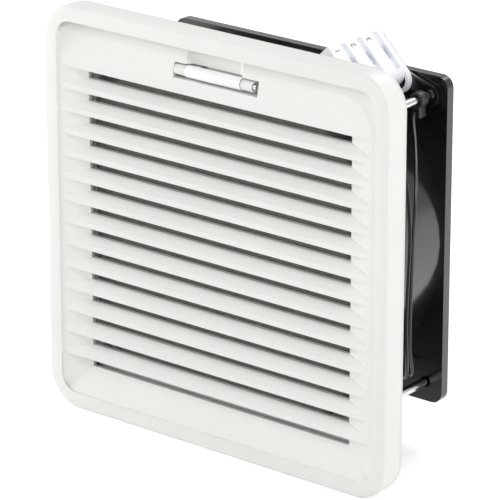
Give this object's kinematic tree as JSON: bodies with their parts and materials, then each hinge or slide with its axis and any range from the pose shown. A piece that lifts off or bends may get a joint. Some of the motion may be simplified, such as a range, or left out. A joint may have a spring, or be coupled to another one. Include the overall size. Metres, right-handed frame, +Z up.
{
  "type": "cabinet filter fan",
  "caption": "Square filter fan for a panel cut-out: louvred hinged cover, filter mat, snap-in frame and an axial fan with a wire guard and terminal block.",
  "frame": {"origin": "centre of the panel cut-out on the panel's outer face, which is the rear face of the mounting frame's flange", "axes": "+X to the right seen from outside the cabinet, +Y into the cabinet along the fan's axis, +Z up"},
  "size_m": [0.15, 0.0612, 0.15],
  "materials": {
    "cover_plastic": "fine satin, light grey",
    "frame_plastic": "satin, light grey",
    "latch_plastic": "smooth, light grey",
    "filter_fibre": "loose fibre mat",
    "gasket_foam": "foamed, matt black",
    "fan_casting": "glossy black coat on a die casting",
    "impeller_plastic": "satin black",
    "zinc_steel": "bright zinc plating",
    "bracket_steel": "black coat",
    "electrical_steel": "dull grey steel",
    "copper_wire": "enamelled copper",
    "terminal_plastic": "smooth white",
    "button_plastic": "satin blue-grey",
    "lead_insulation": "smooth black"
  },
  "bodies": {
    "fan_unit": {"mounting_frame": "frame_plastic", "panel_clip_1": "zinc_steel", "panel_clip_2": "zinc_steel", "panel_clip_3": "zinc_steel", "panel_clip_4": "zinc_steel", "panel_gasket": "gasket_foam", "filter_mat": "filter_fibre", "fan_housing": "fan_casting", "bearing_front": "zinc_steel", "bearing_rear": "zinc_steel", "bearing_cap": "fan_casting", "stator_core": "electrical_steel", "stator_coil_1": "copper_wire", "stator_coil_2": "copper_wire", "stator_coil_3": "copper_wire", "stator_coil_4": "copper_wire", "finger_guard": "zinc_steel", "fan_screw_1": "zinc_steel", "fan_screw_2": "zinc_steel", "fan_screw_3": "zinc_steel", "fan_screw_4": "zinc_steel", "fan_nut_1": "zinc_steel", "fan_nut_2": "zinc_steel", "fan_nut_3": "zinc_steel", "fan_nut_4": "zinc_steel", "terminal_block": "terminal_plastic", "terminal_clamp_1": "copper_wire", "terminal_clamp_2": "copper_wire", "terminal_clamp_3": "copper_wire", "terminal_bracket": "bracket_steel", "bracket_screw_1": "zinc_steel", "bracket_screw_2": "zinc_steel", "lead_clip": "lead_insulation", "motor_lead_1": "lead_insulation", "motor_lead_2": "lead_insulation"},
    "cover": {"front_cover": "cover_plastic", "latch_pin": "zinc_steel"},
    "latch": {"latch_lever": "latch_plastic", "latch_spring": "zinc_steel"},
    "rotor": {"impeller": "impeller_plastic", "rotor_cup": "electrical_steel", "rotor_shaft": "zinc_steel", "shaft_clip": "zinc_steel"},
    "button_1": {"terminal_button_1": "button_plastic"},
    "button_2": {"terminal_button_2": "button_plastic"},
    "button_3": {"terminal_button_3": "button_plastic"}
  },
  "joints": [
    {"name": "impeller_spin", "type": "hinge", "parent": "fan_unit", "child": "rotor", "pos_m": [0, 0.0286, 0], "axis": [0, 1, 0], "continuous": true},
    {"name": "cover_hinge", "type": "hinge", "parent": "fan_unit", "child": "cover", "pos_m": [0, -0.0037, -0.0729], "axis": [1, 0, 0], "range_deg": [0, 85]},
    {"name": "latch_pivot", "type": "hinge", "parent": "cover", "child": "latch", "pos_m": [0, -0.0067, 0.0607], "axis": [1, 0, 0], "range_deg": [0, 9], "stiffness_Nm_per_rad": 0.02, "springref_deg": -11.46},
    {"name": "button_press_1", "type": "slide", "parent": "fan_unit", "child": "button_1", "axis": [-0.7071, 0, -0.7071], "range_m": [0, 0.0015], "stiffness_N_per_m": 300, "springref_m": -0.001},
    {"name": "button_press_2", "type": "slide", "parent": "fan_unit", "child": "button_2", "axis": [-0.7071, 0, -0.7071], "range_m": [0, 0.0015], "stiffness_N_per_m": 300, "springref_m": -0.001},
    {"name": "button_press_3", "type": "slide", "parent": "fan_unit", "child": "button_3", "axis": [-0.7071, 0, -0.7071], "range_m": [0, 0.0015], "stiffness_N_per_m": 300, "springref_m": -0.001}
  ]
}
